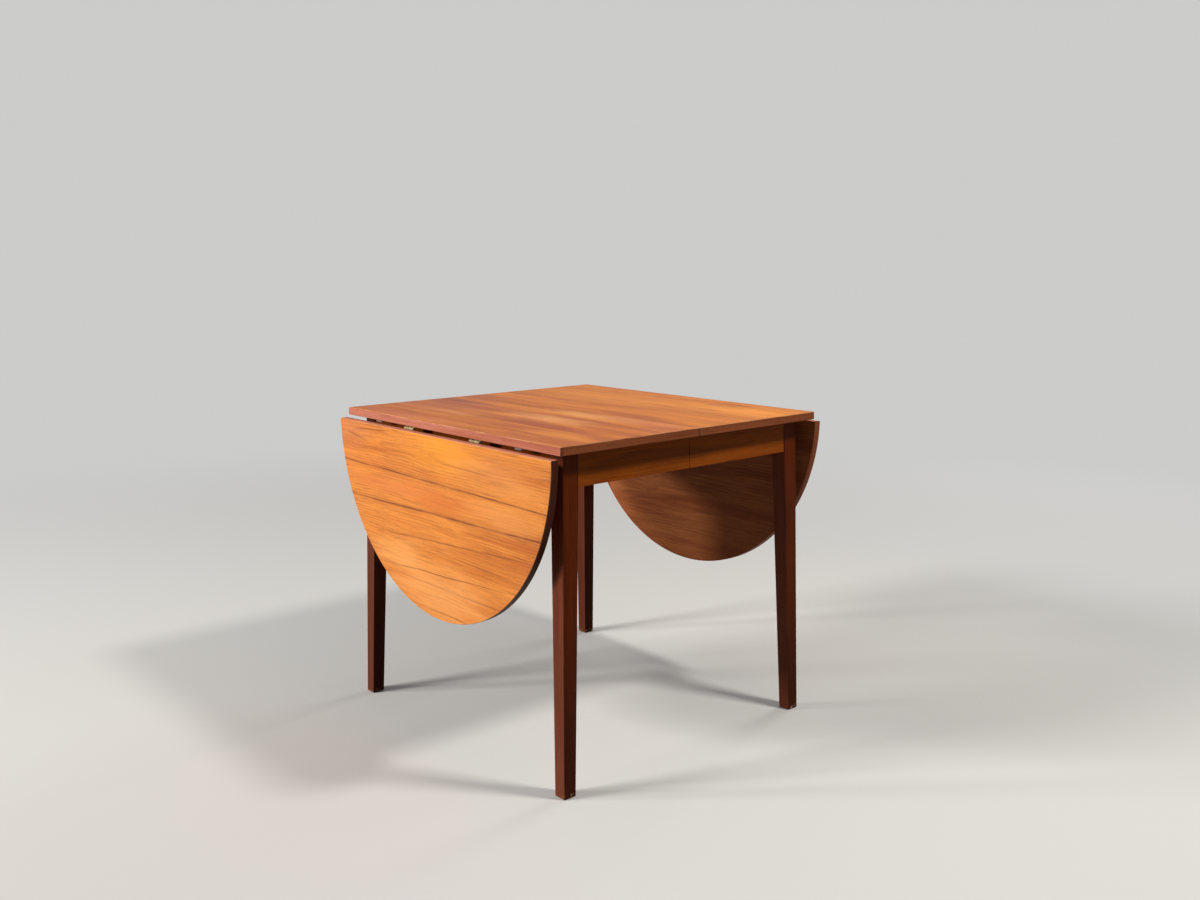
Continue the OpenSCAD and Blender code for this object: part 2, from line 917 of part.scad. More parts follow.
module leaf_curved_lipping(side) {
    color(WOOD_EDGE)
        place(side)
            hang()
                difference() {
                    intersection() {
                        translate([-arc_x, 0, underside])
                            rotate_extrude($fn = 240)
                                translate([arc_radius, 0])
                                    mirror([1, 0])
                                        polygon(lipping_profile(arris_radius));
                        translate([-leaf_edge_x - 2 * arc_radius, -2 * arc_radius, underside - over])
                            cube([2 * arc_radius, 4 * arc_radius, top_thickness + 2 * over]);
                    }
                    leaf_hinge_plan();
                }
}

top_panel(LEFT);  // top_panel_left
outer_lipping(LEFT);  // outer_lipping_left
inner_lipping(LEFT);  // inner_lipping_left
side_lipping(LEFT, FRONT);  // front_lipping_left
side_lipping(LEFT, BACK);  // back_lipping_left
top_panel(RIGHT);  // top_panel_right
outer_lipping(RIGHT);  // outer_lipping_right
inner_lipping(RIGHT);  // inner_lipping_right
side_lipping(RIGHT, FRONT);  // front_lipping_right
side_lipping(RIGHT, BACK);  // back_lipping_right
leg(LEFT, FRONT);  // leg_left_front
leg(LEFT, BACK);  // leg_left_back
leg(RIGHT, FRONT);  // leg_right_front
leg(RIGHT, BACK);  // leg_right_back
end_apron(LEFT);  // end_apron_left
end_apron(RIGHT);  // end_apron_right
side_apron(LEFT, FRONT);  // side_apron_left_front
side_apron(LEFT, BACK);  // side_apron_left_back
side_apron(RIGHT, FRONT);  // side_apron_right_front
side_apron(RIGHT, BACK);  // side_apron_right_back
corner_block(LEFT, FRONT);  // corner_block_left_front
corner_block(LEFT, BACK);  // corner_block_left_back
corner_block(RIGHT, FRONT);  // corner_block_right_front
corner_block(RIGHT, BACK);  // corner_block_right_back
grooved_runner(FRONT);  // grooved_runner_front
grooved_runner(BACK);  // grooved_runner_back
tongued_runner(FRONT);  // tongued_runner_front
tongued_runner(BACK);  // tongued_runner_back
batten(LEFT);  // batten_left
batten(RIGHT);  // batten_right
dowels();
stop_pins();
bar_guides(LEFT);  // bar_guides_left
bar_guides(RIGHT);  // bar_guides_right
support_bar(LEFT, FRONT);  // support_bar_left_front
support_bar(LEFT, BACK);  // support_bar_left_back
support_bar(RIGHT, FRONT);  // support_bar_right_front
support_bar(RIGHT, BACK);  // support_bar_right_back
hinge_plate(LEFT, FRONT);  // hinge_plate_left_front
hinge_plate(LEFT, BACK);  // hinge_plate_left_back
hinge_plate(RIGHT, FRONT);  // hinge_plate_right_front
hinge_plate(RIGHT, BACK);  // hinge_plate_right_back
hinge_pins(LEFT);  // hinge_pins_left
hinge_pins(RIGHT);  // hinge_pins_right
small_screws(LEFT);  // small_screws_left
small_screws(RIGHT);  // small_screws_right
frame_screws(LEFT);  // frame_screws_left
frame_screws(RIGHT);  // frame_screws_right
leaf_panel(LEFT);  // leaf_panel_left
leaf_curved_lipping(LEFT);  // leaf_curved_lipping_left
leaf_hinge_lipping(LEFT);  // leaf_hinge_lipping_left
leaf_hinge_plate(LEFT, FRONT);  // leaf_hinge_plate_left_front
leaf_hinge_plate(LEFT, BACK);  // leaf_hinge_plate_left_back
leaf_screws(LEFT);  // leaf_screws_left
leaf_panel(RIGHT);  // leaf_panel_right
leaf_curved_lipping(RIGHT);  // leaf_curved_lipping_right
leaf_hinge_lipping(RIGHT);  // leaf_hinge_lipping_right
leaf_hinge_plate(RIGHT, FRONT);  // leaf_hinge_plate_right_front
leaf_hinge_plate(RIGHT, BACK);  // leaf_hinge_plate_right_back
leaf_screws(RIGHT);  // leaf_screws_right
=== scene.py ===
# %% [markdown]
# Extending dining table with two drop leaves
#
# This lesson dresses a finished CAD model. The table is teak: a square top split across the
# middle, a half-round leaf hanging from a brass hinge line at each end, and four tapered
# legs. The CAD shapes are already right, so the work here is in the surfaces: veneer, solid
# lippings, stained legs, bare inside wood, brass and steel. Lengths are in metres. The x axis
# runs from the left leaf to the right one, y from the front to the back, and z up from the
# floor.

# %% Load the CAD frame
import bpy
import math
from mathutils import Euler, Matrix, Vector

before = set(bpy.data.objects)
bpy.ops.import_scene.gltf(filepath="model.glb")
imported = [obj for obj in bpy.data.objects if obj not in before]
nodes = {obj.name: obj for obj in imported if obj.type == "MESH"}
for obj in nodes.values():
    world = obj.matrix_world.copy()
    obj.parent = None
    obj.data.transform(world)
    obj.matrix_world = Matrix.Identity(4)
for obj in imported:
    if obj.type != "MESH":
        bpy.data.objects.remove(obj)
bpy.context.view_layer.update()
scene = bpy.context.scene

# %% [markdown]
# The camera stands where the photograph was taken. A level camera with a vertical shift keeps
# the legs parallel, as an architect's lens does. The numbers come from matching the corners
# of the top and the feet, with the picture taken to be 1200 by 900.

# %% Place the camera
PICTURE_WIDTH = 1200
FOCAL_PIXELS = 1130.6
HORIZON_ABOVE_MIDDLE = 186.3
SENSOR_WIDTH = 36
CAMERA_PLACE = Vector((-1.824, -2.2006, 1.0976))
CAMERA_TURN = math.radians(49.108 - 90)
CAMERA_ROLL = math.radians(-0.256)

camera = bpy.data.objects.new("camera", bpy.data.cameras.new("camera"))
scene.collection.objects.link(camera)
camera.data.sensor_width = SENSOR_WIDTH
camera.data.lens = SENSOR_WIDTH * FOCAL_PIXELS / PICTURE_WIDTH
camera.data.shift_y = -HORIZON_ABOVE_MIDDLE / PICTURE_WIDTH
camera.location = CAMERA_PLACE
upright = Euler((math.pi / 2, 0, CAMERA_TURN)).to_matrix()
camera.rotation_euler = (upright @ Euler((0, 0, CAMERA_ROLL)).to_matrix()).to_euler()
scene.camera = camera
print("lens:", round(camera.data.lens, 2), "mm, shift:", round(camera.data.shift_y, 4))

# %% [markdown]
# A material is a tree of nodes, and so is the world. Adding each node and its links by hand
# takes many lines, so a few small helpers do it. One fills a socket with a link or a value,
# and the others add math nodes and return their result, so that a formula stays readable.

# %% Helpers for numbers
def put(tree, value, socket):
    """Links a socket, or sets a plain value."""
    if isinstance(value, bpy.types.NodeSocket):
        tree.links.new(value, socket)
    else:
        socket.default_value = value


def calc(tree, operation, *values):
    """Adds a math node and returns its result."""
    node = tree.nodes.new("ShaderNodeMath")
    node.operation = operation
    for i, value in enumerate(values):
        put(tree, value, node.inputs[i])
    return node.outputs[0]


def total(tree, *values):
    """Adds up two or more numbers."""
    result = values[0]
    for value in values[1:]:
        result = calc(tree, "ADD", result, value)
    return result


def product(tree, *values):
    """Multiplies two or more numbers."""
    result = values[0]
    for value in values[1:]:
        result = calc(tree, "MULTIPLY", result, value)
    return result


def less(tree, first, second):
    """Takes the second number from the first."""
    return calc(tree, "SUBTRACT", first, second)


def remap(tree, value, low, high, to_low=0.0, to_high=1.0):
    """Maps a range smoothly to another, and stops at its ends."""
    node = tree.nodes.new("ShaderNodeMapRange")
    node.interpolation_type = "SMOOTHSTEP"
    for i, number in enumerate((value, low, high, to_low, to_high)):
        put(tree, number, node.inputs[i])
    return node.outputs[0]


print("number helpers:", [h.__name__ for h in (put, calc, total, product, less, remap)])

# %% [markdown]
# A product picture needs a pale surround, but a pale surround is a lamp as well, and its light
# would wash out the shadows on the wood. The Light Path node keeps the two apart: rays from
# the camera, or by way of a mirror or glass, see the pale backdrop, and other rays find
# something darker. So the floor and the sky are each a mix of two shaders.

# %% Helpers for the surround
BACKDROP_GREY = (0.60, 0.60, 0.595, 1)


def backdrop_rays(tree):
    """Returns 1 for rays from the camera, or by way of a mirror or glass, and 0 otherwise."""
    rays = tree.nodes.new("ShaderNodeLightPath")
    share = rays.outputs["Is Camera Ray"]
    for kind in ("Is Glossy Ray", "Is Transmission Ray"):
        share = calc(tree, "MAXIMUM", share, rays.outputs[kind])
    return share


def mix_shaders(tree, share, first, second):
    """Mixes two shaders."""
    node = tree.nodes.new("ShaderNodeMixShader")
    for i, value in enumerate((share, first, second)):
        put(tree, value, node.inputs[i])
    return node.outputs[0]


print("backdrop grey:", BACKDROP_GREY[:3])

# %% [markdown]
# A curved backdrop could hide the horizon, but only from one side, and a table is looked at
# from all sides. So the floor is one wide plane, a hair below the feet so that no two faces
# lie in one place. It is pale and dull, keeps the table's shadow, and fades into the backdrop
# away from the table, so that it seems to run on for ever.

# %% Floor
FLOOR_SIZE = 80
FLOOR_DROP = 0.0002
FLOOR_GREY = (0.60, 0.60, 0.59, 1)
FLOOR_ROUGHNESS = 0.8
BOUNCE_GREY = (0.24, 0.24, 0.24, 1)
FADE_START, FADE_END = 1.2, 4.5

bpy.ops.object.select_all(action="DESELECT")
bpy.ops.mesh.primitive_plane_add(size=FLOOR_SIZE, location=(0, 0, -FLOOR_DROP))
floor = bpy.context.object
floor.name = "floor"
floor_material = bpy.data.materials.new("pale_floor")
floor_material.use_nodes = True
tree = floor_material.node_tree
pale = tree.nodes["Principled BSDF"]
pale.inputs["Base Color"].default_value = FLOOR_GREY
pale.inputs["Roughness"].default_value = FLOOR_ROUGHNESS
bounce = tree.nodes.new("ShaderNodeBsdfDiffuse")
bounce.inputs["Color"].default_value = BOUNCE_GREY
glow = tree.nodes.new("ShaderNodeEmission")
glow.inputs["Color"].default_value = BACKDROP_GREY
distance = tree.nodes.new("ShaderNodeVectorMath")
distance.operation = "LENGTH"
put(tree, tree.nodes.new("ShaderNodeTexCoord").outputs["Object"], distance.inputs[0])
fade = remap(tree, distance.outputs["Value"], FADE_START, FADE_END)
near = mix_shaders(tree, backdrop_rays(tree), bounce.outputs[0], pale.outputs[0])
far = product(tree, fade, backdrop_rays(tree))
surface = mix_shaders(tree, far, near, glow.outputs[0])
put(tree, surface, tree.nodes["Material Output"].inputs["Surface"])
floor.data.materials.append(floor_material)
print("floor:", FLOOR_SIZE, "m wide, fading between", FADE_START, "and", FADE_END, "m")

# %% [markdown]
# A sun lamp is quick to place, but its light comes from one direction and its shadows are
# sharp. Softboxes are broad lamps with soft shadows. The key at the left lights the hanging
# leaf fully and grazes the top. A smaller, steeper one at the front lets the overhang of the
# top draw its shadow on the aprons, a low one at the back left reaches the inner face of the
# far leaf under the top, and one at the right keeps the far leaf's outer face readable. The
# low left and the right one draw no glare on the flat top, as if they had a polarising
# filter. All but the front one stand far off, so the floor is lit evenly.

# %% Softboxes
def softbox(name, place, aim, size, watts, colour, glare=True):
    """Adds a rectangular area light that faces the aim point, out of the camera's sight."""
    lamp = bpy.data.objects.new(name, bpy.data.lights.new(name, "AREA"))
    scene.collection.objects.link(lamp)
    lamp.data.shape = "RECTANGLE"
    lamp.data.size, lamp.data.size_y = size
    lamp.data.energy = watts
    lamp.data.color = colour
    lamp.location = place
    lamp.rotation_euler = (Vector(place) - Vector(aim)).to_track_quat("Z", "Y").to_euler()
    lamp.visible_camera = False
    lamp.visible_glossy = glare


softbox("key", place=(-6.5, 2.56, 4.0), aim=(0, 0, 0.5), size=(1.6, 1.4), watts=455,
        colour=(1.0, 0.965, 0.92))
softbox("front", place=(0.9, -2.15, 3.3), aim=(0, 0, 0.5), size=(0.5, 0.4), watts=84,
        colour=(1.0, 0.96, 0.90))
softbox("low_left", place=(-6.4, 4.5, 2.36), aim=(0.2, 0, 0.4), size=(0.7, 0.6), watts=280,
        colour=(1.0, 0.97, 0.93), glare=False)
softbox("right", place=(6.5, 0.5, 2.1), aim=(0, 0, 0.4), size=(2.2, 1.8), watts=190,
        colour=(1.0, 0.97, 0.94), glare=False)

# %% [markdown]
# The world lights the shadows from all sides, weakly and a little cool, as open space round a
# table does. The standard view transform shows each colour as it is written.

# %% Sky
SKY_GREY = (0.80, 0.81, 0.82, 1)
SKY_STRENGTH = 0.20

world = bpy.data.worlds.new("studio")
world.use_nodes = True
scene.world = world
tree = world.node_tree
sky = tree.nodes["Background"]
sky.inputs["Color"].default_value = SKY_GREY
sky.inputs["Strength"].default_value = SKY_STRENGTH
backdrop = tree.nodes.new("ShaderNodeBackground")
backdrop.inputs["Color"].default_value = BACKDROP_GREY
surround = mix_shaders(tree, backdrop_rays(tree), sky.outputs[0], backdrop.outputs[0])
put(tree, surround, tree.nodes["World Output"].inputs["Surface"])
scene.view_settings.view_transform = "Standard"
print("sky strength:", SKY_STRENGTH, "view:", scene.view_settings.view_transform)

# %% [markdown]
# Wood needs patterns and colours. These helpers join numbers to a vector, add a noise texture,
# turn a screen colour into light, map a value to a ramp of colours, and mix two colours. A Mix
# node has sockets for every kind of data, and those for colours are named here. Later cells
# name whole rows of numbers, such as a noise's scale, detail and roughness or the two ends of
# a range, and hand them on with a star.

# %% Helpers for patterns and colours
MIX_FIRST, MIX_SECOND, MIX_RESULT = 6, 7, 2


def vector(tree, x, y, z):
    """Joins three numbers to a vector."""
    node = tree.nodes.new("ShaderNodeCombineXYZ")
    for i, value in enumerate((x, y, z)):
        put(tree, value, node.inputs[i])
    return node.outputs[0]


def noise(tree, place, scale, detail, roughness=0.5):
    """Adds a noise texture and returns its value, about 0.5 on average."""
    node = tree.nodes.new("ShaderNodeTexNoise")
    put(tree, place, node.inputs["Vector"])
    node.inputs["Scale"].default_value = scale
    node.inputs["Detail"].default_value = detail
    node.inputs["Roughness"].default_value = roughness
    return node.outputs[0]


def linear(code):
    """Turns a screen colour such as d98a4b into the linear one that shaders use."""
    parts = [int(code[i:i + 2], 16) / 255 for i in (0, 2, 4)]
    light = [p / 12.92 if p < 0.04045 else ((p + 0.055) / 1.055) ** 2.4 for p in parts]
    return (*light, 1)


def ramp(tree, value, stops):
    """Adds a colour ramp from (position, colour code) pairs."""
    node = tree.nodes.new("ShaderNodeValToRGB")
    put(tree, value, node.inputs[0])
    elements = node.color_ramp.elements
    while len(elements) < len(stops):
        elements.new(0.5)
    for element, (position, code) in zip(elements, stops):
        element.position = position
        element.color = linear(code)
    return node.outputs[0]


def mix(tree, share, first, second):
    """Mixes two colours."""
    node = tree.nodes.new("ShaderNodeMix")
    node.data_type = "RGBA"
    put(tree, share, node.inputs[0])
    put(tree, first, node.inputs[MIX_FIRST])
    put(tree, second, node.inputs[MIX_SECOND])
    return node.outputs[MIX_RESULT]


print("the screen colour d98a4b as light:", [round(v, 3) for v in linear("d98a4b")[:3]])

# %% [markdown]
# Grain is noise that is drawn out along the board: the place along the grain is shrunk before
# the noise reads it. Every layer of the wood is such a noise, given as its stretch, scale and
# detail, and some have a roughness too. Two of them push the ring lines to and fro, one makes
# them fade in places, and the rest are the soft bands, the fine fibres, a few short dark
# strokes and the open pores.

# %% Stretched noise
DRIFT = (0.30, 7, 2.0)
SWAY = (0.16, 34, 2.0)
FADING = (0.25, 14, 3.0)
BANDS = (0.09, 17, 5.0, 0.56)
FIBRES = (0.014, 460, 4.0, 0.68)
STROKES = (0.045, 230, 3.0)
PORES = (0.045, 1500, 1.0)


def stretched_noise(tree, place, stretch, scale, detail, roughness=0.55):
    """Returns noise that is drawn out along the grain; place is (along, across, through)."""
    along, across, through = place
    where = vector(tree, product(tree, along, stretch), across, through)
    return noise(tree, where, scale, detail, roughness)


def swing(tree, place, layer, size):
    """Returns stretched noise that swings to both sides of zero, over a given size."""
    return product(tree, less(tree, stretched_noise(tree, place, *layer), 0.5), size)


print("finest layer:", PORES[1], "per metre, drawn out", round(1 / PORES[0]), "times")

# %% [markdown]
# A picture of a board could be laid on each face, but its lines would break off at every
# edge. So the wood is a solid texture, as in a real plank. A tree's growth rings are cylinders
# round its pith, and the distance from a slightly leaning pith line gives every figure that a
# saw can cut: straight lines far from the pith, and pointed arches, or cathedrals, where the
# cut runs close to it. A ring darkens slowly towards its late wood and then ends at once.

# %% Grain of one board
DRIFT_SIZE, SWAY_SIZE = 0.045, 0.004
RING_RISE, RING_FALL = (0.35, 0.90), (0.92, 1.0)
FADING_CUT, STROKE_CUT, PORE_CUT = (0.36, 0.66), (0.58, 0.68), (0.60, 0.74)


def length(tree, first, second):
    """Returns the distance that two steps at a right angle make together."""
    squares = total(tree, product(tree, first, first), product(tree, second, second))
    return calc(tree, "SQRT", squares)


def board(tree, place, pith, ring, wander):
    """Returns ring lines, soft bands, fibres, strokes and pores, each from 0 to 1.

    pith is (place across, depth, lean), in metres; ring is the width of a growth ring, and
    wander says how much the lines are pushed about.
    """
    along, across, through = place
    push = total(tree, swing(tree, place, DRIFT, DRIFT_SIZE * wander),
                 swing(tree, place, SWAY, SWAY_SIZE * wander))
    side = total(tree, less(tree, across, pith[0]), push)
    depth = total(tree, product(tree, along, pith[2]), through, pith[1], push)
    turns = calc(tree, "FRACT", calc(tree, "DIVIDE", length(tree, side, depth), ring))
    rise = remap(tree, turns, *RING_RISE)
    fall = remap(tree, turns, *RING_FALL, 1.0, 0.0)
    faded = remap(tree, stretched_noise(tree, place, *FADING), *FADING_CUT)
    flow = (along, side, through)
    bands = stretched_noise(tree, flow, *BANDS)
    fibres = stretched_noise(tree, flow, *FIBRES)
    strokes = remap(tree, stretched_noise(tree, flow, *STROKES), *STROKE_CUT)
    pores = remap(tree, stretched_noise(tree, flow, *PORES), *PORE_CUT)
    return product(tree, rise, fall, faded), bands, fibres, strokes, pores


print("ring lines are pushed by up to about", round(500 * (DRIFT_SIZE + SWAY_SIZE)), "mm")

# %% [markdown]
# The photograph shows three kinds of teak. The veneer of the top and leaves is warm orange
# with purplish streaks, the solid lippings are pinker, and the legs and aprons are stained
# red-brown. Each has a palette: three or four colours for the bands, and one each for the ring
# lines, the fibre lines, the strokes and the pores.

# %% Palettes
VENEER_STOPS = (0.30, 0.42, 0.55, 0.72)
SOLID_STOPS = (0.30, 0.50, 0.70)
DETAILS = ("ring", "line", "stroke", "pore")


def palette(stops, bands, details):
    """Returns the colours of a wood: its bands at the stops of a ramp, and its details."""
    look = dict(zip(DETAILS, details.split()))
    look["bands"] = list(zip(stops, bands.split()))
    return look


ORANGE = palette(VENEER_STOPS, "c26d35 d8823c e89345 d87f3c", "9c5432 a65d31 82442d 6e3823")
# The leaves' veneer made darker for the top, as painted shade on the grazed flat face.
TOP = palette(VENEER_STOPS, "a45125 be6926 d7812b c16925", "803e20 8a451f 683121 562818")
UNDER = palette(VENEER_STOPS, "824224 965230 ad683d 90502d", "5c2d19 60301b 482213 3a1b10")
PINK = palette(SOLID_STOPS, "b06650 c37c66 b7705b", "965035 924d38 7a3f31 603122")
# Darker than the pink lippings, partly as painted shade on faces turned from the light.
EDGE = palette(SOLID_STOPS, "83442a 965332 894a2c", "6a3620 6c3822 562b1a 432013")
# The left leaf's curved rim is dark partly from stain and partly as painted shade.
DARK_AND_SHADED = palette(SOLID_STOPS, "431f10 522715 482212", "34170c 36180d 29110a 1f0d07")
STAINED = palette(SOLID_STOPS, "4f1b03 672805 561f04", "381303 3e1603 2c0f02 200a02")
# Paler than the stained palette, partly less stain and partly painted light on lit faces.
FLAT_AND_LIT = palette(SOLID_STOPS, "663220 7c412c 6d3724", "4a2215 4f2517 3a1a10 2a120b")
APRON = palette(SOLID_STOPS, "823d0d 9b4d10 89420e", "5f2c0a 66300b 4a2008 361706")
BARE = palette(SOLID_STOPS, "a98360 b9936e ae8762", "93704f 94704e 7c5b3e 62452e")
print("bands of the top:", TOP["bands"])

# %% [markdown]
# One function makes every wood from a palette, so all read as one timber. The bands pick the
# ground colour, and each detail is laid over it with a share of its own. The fibres also make
# the relief, with the pores as fine dents.

# %% Colour of one board
DETAIL_SHARES = {"ring": 0.45, "line": 0.52, "stroke": 0.36, "pore": 0.40}
FIBRE_CUT = (0.42, 0.68)
FIBRE_HEIGHT = 0.5


def wood_colour(tree, place, look, pith, ring, wander, tone=0.0):
    """Returns the colour and the relief of a board in one of the palettes."""
    rings, bands, fibres, strokes, pores = board(tree, place, pith, ring, wander)
    colour = ramp(tree, total(tree, bands, tone), look["bands"])
    lines = remap(tree, fibres, *FIBRE_CUT)
    for detail, layer in zip(DETAILS, (rings, lines, strokes, pores)):
        share = product(tree, layer, DETAIL_SHARES[detail])
        colour = mix(tree, share, colour, linear(look[detail]))
    return colour, less(tree, product(tree, fibres, FIBRE_HEIGHT), pores)


print("shares of the details:", DETAIL_SHARES)

# %% [markdown]
# The finish is thin and satin: it mirrors little, is duller in the pores than on the fibres,
# and lets the relief be felt. Generated coordinates would stretch a pattern to the box of each
# piece, so all patterns read object coordinates, in metres. They then have their real size
# and stay with the wood when the table moves.

# %% Materials and their finish
SATIN_SPECULAR = 0.05
DENT, RIDGE = -0.8, 0.5
DENT_DULLER, RIDGE_GLOSSIER = 0.12, 0.04
RELIEF_STRENGTH, RELIEF_DEPTH = 0.5, 0.00012


def new_material(name):
    """Returns a material, its tree, its shader and the object coordinates, apart."""
    material = bpy.data.materials.new(name)
    material.use_nodes = True
    tree = material.node_tree
    place = tree.nodes.new("ShaderNodeSeparateXYZ")
    put(tree, tree.nodes.new("ShaderNodeTexCoord").outputs["Object"], place.inputs[0])
    return material, tree, tree.nodes["Principled BSDF"], list(place.outputs)


def emboss(tree, shader, height, strength, depth):
    """Gives a surface a fine relief."""
    bump = tree.nodes.new("ShaderNodeBump")
    bump.inputs["Strength"].default_value = strength
    bump.inputs["Distance"].default_value = depth
    put(tree, height, bump.inputs["Height"])
    put(tree, bump.outputs[0], shader.inputs["Normal"])


def finish(tree, shader, colour, relief, roughness):
    """Connects a colour and a relief to the shader, under a thin satin finish."""
    put(tree, colour, shader.inputs["Base Color"])
    put(tree, remap(tree, relief, DENT, RIDGE, roughness + DENT_DULLER,
                    roughness - RIDGE_GLOSSIER), shader.inputs["Roughness"])
    shader.inputs["Specular IOR Level"].default_value = SATIN_SPECULAR
    emboss(tree, shader, relief, RELIEF_STRENGTH, RELIEF_DEPTH)


def dress(material, names):
    """Gives a material to CAD nodes."""
    for name in names:
        nodes[name].data.materials.clear()
        nodes[name].data.materials.append(material)


print("relief:", round(1000 * RELIEF_DEPTH, 2), "mm deep")

# %% [markdown]
# Noise alone gives wood that is the same everywhere. A real sheet of veneer has places: a
# golden patch here, a dark mineral streak there. They could be painted on an image, but a
# formula stays sharp from close by, and one number moves it. A blush is a soft oval of another
# tint, and a streak is a thin dark line with its own slope and ends, with a wider, paler halo.
# Both are frayed along the grain, so that they look grown and not drawn.

# %% Blushes and streaks
BLUSH_CORE, BLUSH_RIM = 0.05, 1.30
CORE_SHARE, HALO_SHARE = 0.88, 0.24
CORE_START, CORE_END, CORE_BLUR, HALO_END = 0.15, 0.35, 0.0006, 2.2


def blush(tree, along, across, fray, centre, half, strength):
    """Returns the share of a soft oval patch; centre and half are (along, across)."""
    u = calc(tree, "DIVIDE", less(tree, along, centre[0]), half[0])
    v = calc(tree, "DIVIDE", less(tree, across, centre[1]), half[1])
    reach = total(tree, length(tree, u, v), fray)
    return remap(tree, reach, BLUSH_CORE, BLUSH_RIM, strength, 0.0)


def streak(tree, along, across, sway, patchy, line):
    """Returns the share of a dark streak; line is its place across, slope, width, strength,
    centre along and half length."""
    place, slope, width, strength, centre, half = line
    middle = total(tree, place, product(tree, along, slope))
    offset = calc(tree, "ABSOLUTE", total(tree, less(tree, across, middle), sway))
    core_start, core_end = CORE_START * width, CORE_END * width + CORE_BLUR
    core = remap(tree, offset, core_start, core_end, CORE_SHARE, 0.0)
    halo = remap(tree, offset, 0.0, HALO_END * width, HALO_SHARE, 0.0)
    from_centre = calc(tree, "ABSOLUTE", less(tree, along, centre))
    ends = remap(tree, from_centre, 0.5 * half, half, strength, 0.0)
    return product(tree, total(tree, core, halo), ends, patchy)


print("a streak 4 mm wide has a halo of", round(4 * 2 * HALO_END, 1), "mm")

# %% [markdown]
# One function lays all blushes and streaks of a sheet over its colour. They share the noise
# that frays the ovals, sways the lines and breaks them up, as they share one sheet.

# %% Figure of one sheet
FRAY, FRAY_SIZE = (0.18, 34, 3.0), 1.7
LINE_SWAY, LINE_SWAY_SIZE = (0.5, 9, 3.0), 0.009
PATCHES, PATCH_CUT, PALEST_PATCH = (0.3, 30, 3.0), (0.30, 0.60), 0.45
STREAK_TINT = "7a4231"


def figured(tree, along, across, colour, blushes, streaks):
    """Adds all blushes and streaks of one sheet to its colour."""
    place = (along, across, 0.0)
    fray = swing(tree, place, FRAY, FRAY_SIZE)
    sway = swing(tree, place, LINE_SWAY, LINE_SWAY_SIZE)
    patchy = remap(tree, stretched_noise(tree, place, *PATCHES), *PATCH_CUT, PALEST_PATCH, 1.0)
    for centre, half, tint, strength in blushes:
        share = blush(tree, along, across, fray, centre, half, strength)
        colour = mix(tree, share, colour, linear(tint))
    for line in streaks:
        share = streak(tree, along, across, sway, patchy, line)
        colour = mix(tree, share, colour, linear(STREAK_TINT))
    return colour


print("streaks sway by", 1000 * LINE_SWAY_SIZE / 2, "mm at most")

# %% [markdown]
# Every edge has a solid lipping, and the veneer is laid over panel and lipping alike. So a
# lipping shows the veneer's figure on its face, plainer veneer on its back, and solid wood
# only on the edge between. Each face could be selected and get a material of its own, but one
# material that reads its place inside the thickness shows the right wood as well, and its
# glue lines need no edges in the mesh. Hands and cloths have rubbed the arris, the sharp edge
# of the face, and the paler line painted along it is partly that wear and partly a painted
# highlight.

# %% Veneer over solid edges
GLUE_LINE = (0.0005, 0.0009)
ARRIS_START, ARRIS_FULL, ARRIS_END = 0.0022, 0.0010, 0.0003
RUB_AND_HIGHLIGHT_PATCHES, RUB_AND_HIGHLIGHT_CUT, RUB_AND_HIGHLIGHT_RANGE = (22, 3.0), (0.35, 0.62), (0.25, 0.85)
RUB_AND_HIGHLIGHT_SHARE, RUB_AND_HIGHLIGHT_TINT = 0.5, "e9b98c"
JOINT_CORE, JOINT_END, JOINT_TINT = 0.0003, 0.0011, "6e3a26"


def layered(tree, level, thickness, face, edge, back, place):
    """Joins the looks of a face, an edge and a back by the level above the back."""
    near, deep = GLUE_LINE
    colour = mix(tree, remap(tree, level, near, deep), back, edge)
    colour = mix(tree, remap(tree, level, thickness - deep, thickness - near), colour, face)
    # The paler line along the arris is partly rubbed wear and partly a painted highlight.
    up = remap(tree, level, thickness - ARRIS_START, thickness - ARRIS_FULL)
    down = remap(tree, level, thickness - ARRIS_END, thickness, 1.0, 0.0)
    patchy = remap(tree, noise(tree, place, *RUB_AND_HIGHLIGHT_PATCHES), *RUB_AND_HIGHLIGHT_CUT, *RUB_AND_HIGHLIGHT_RANGE)
    return mix(tree, product(tree, up, down, patchy, RUB_AND_HIGHLIGHT_SHARE), colour, linear(RUB_AND_HIGHLIGHT_TINT))


def joint_line(tree, colour, distance, share):
    """Darkens a hairline where the distance to a glued joint is nearly nothing."""
    dark = remap(tree, calc(tree, "ABSOLUTE", distance), JOINT_CORE, JOINT_END, share, 0.0)
    return mix(tree, dark, colour, linear(JOINT_TINT))


print("veneer:", round(1000 * sum(GLUE_LINE) / 2, 1), "mm thick")

# %% [markdown]
# The top is laid up from wide strips of veneer, so the figure changes at a few straight
# joints that run across the table. A pith just under the surface gives a strip cathedrals,
# and a deep one gives straight lines. Every strip could have a material of its own, but steps
# along the x axis choose its values just as well, and one material covers the whole top.

# %% Strips of the top
TOP_EDGES = (-0.262, -0.114, 0.0, 0.173, 0.310)
TOP_PITHS = (-0.470, -0.170, -0.050, 0.100, 0.285, 0.420)
TOP_DEPTHS = (0.030, 0.012, 0.030, 0.016, 0.005, 0.040)
TOP_LEANS = (0.02, 0.03, 0.02, -0.035, 0.05, -0.02)
TOP_TONES = (-0.06, -0.09, -0.045, 0.01, 0.05, 0.04)


def choose(tree, place, edges, values):
    """Gives values[i] between edges[i - 1] and edges[i], as steps along a place."""
    result = values[0]
    for i, edge in enumerate(edges):
        over = calc(tree, "GREATER_THAN", place, edge)
        result = total(tree, result, product(tree, over, values[i + 1] - values[i]))
    return result


print("strips of the top:", len(TOP_PITHS))

# %% [markdown]
# The real top is redder and darker at the back left, has two pale patches left of the middle,
# and turns golden towards the right front corner. Each blush is a centre and a half size, both
# as (along, across) the grain, which are y and x here, with its tint and its strength. Each
# streak is a place across, slope, width, strength, centre along and half length.

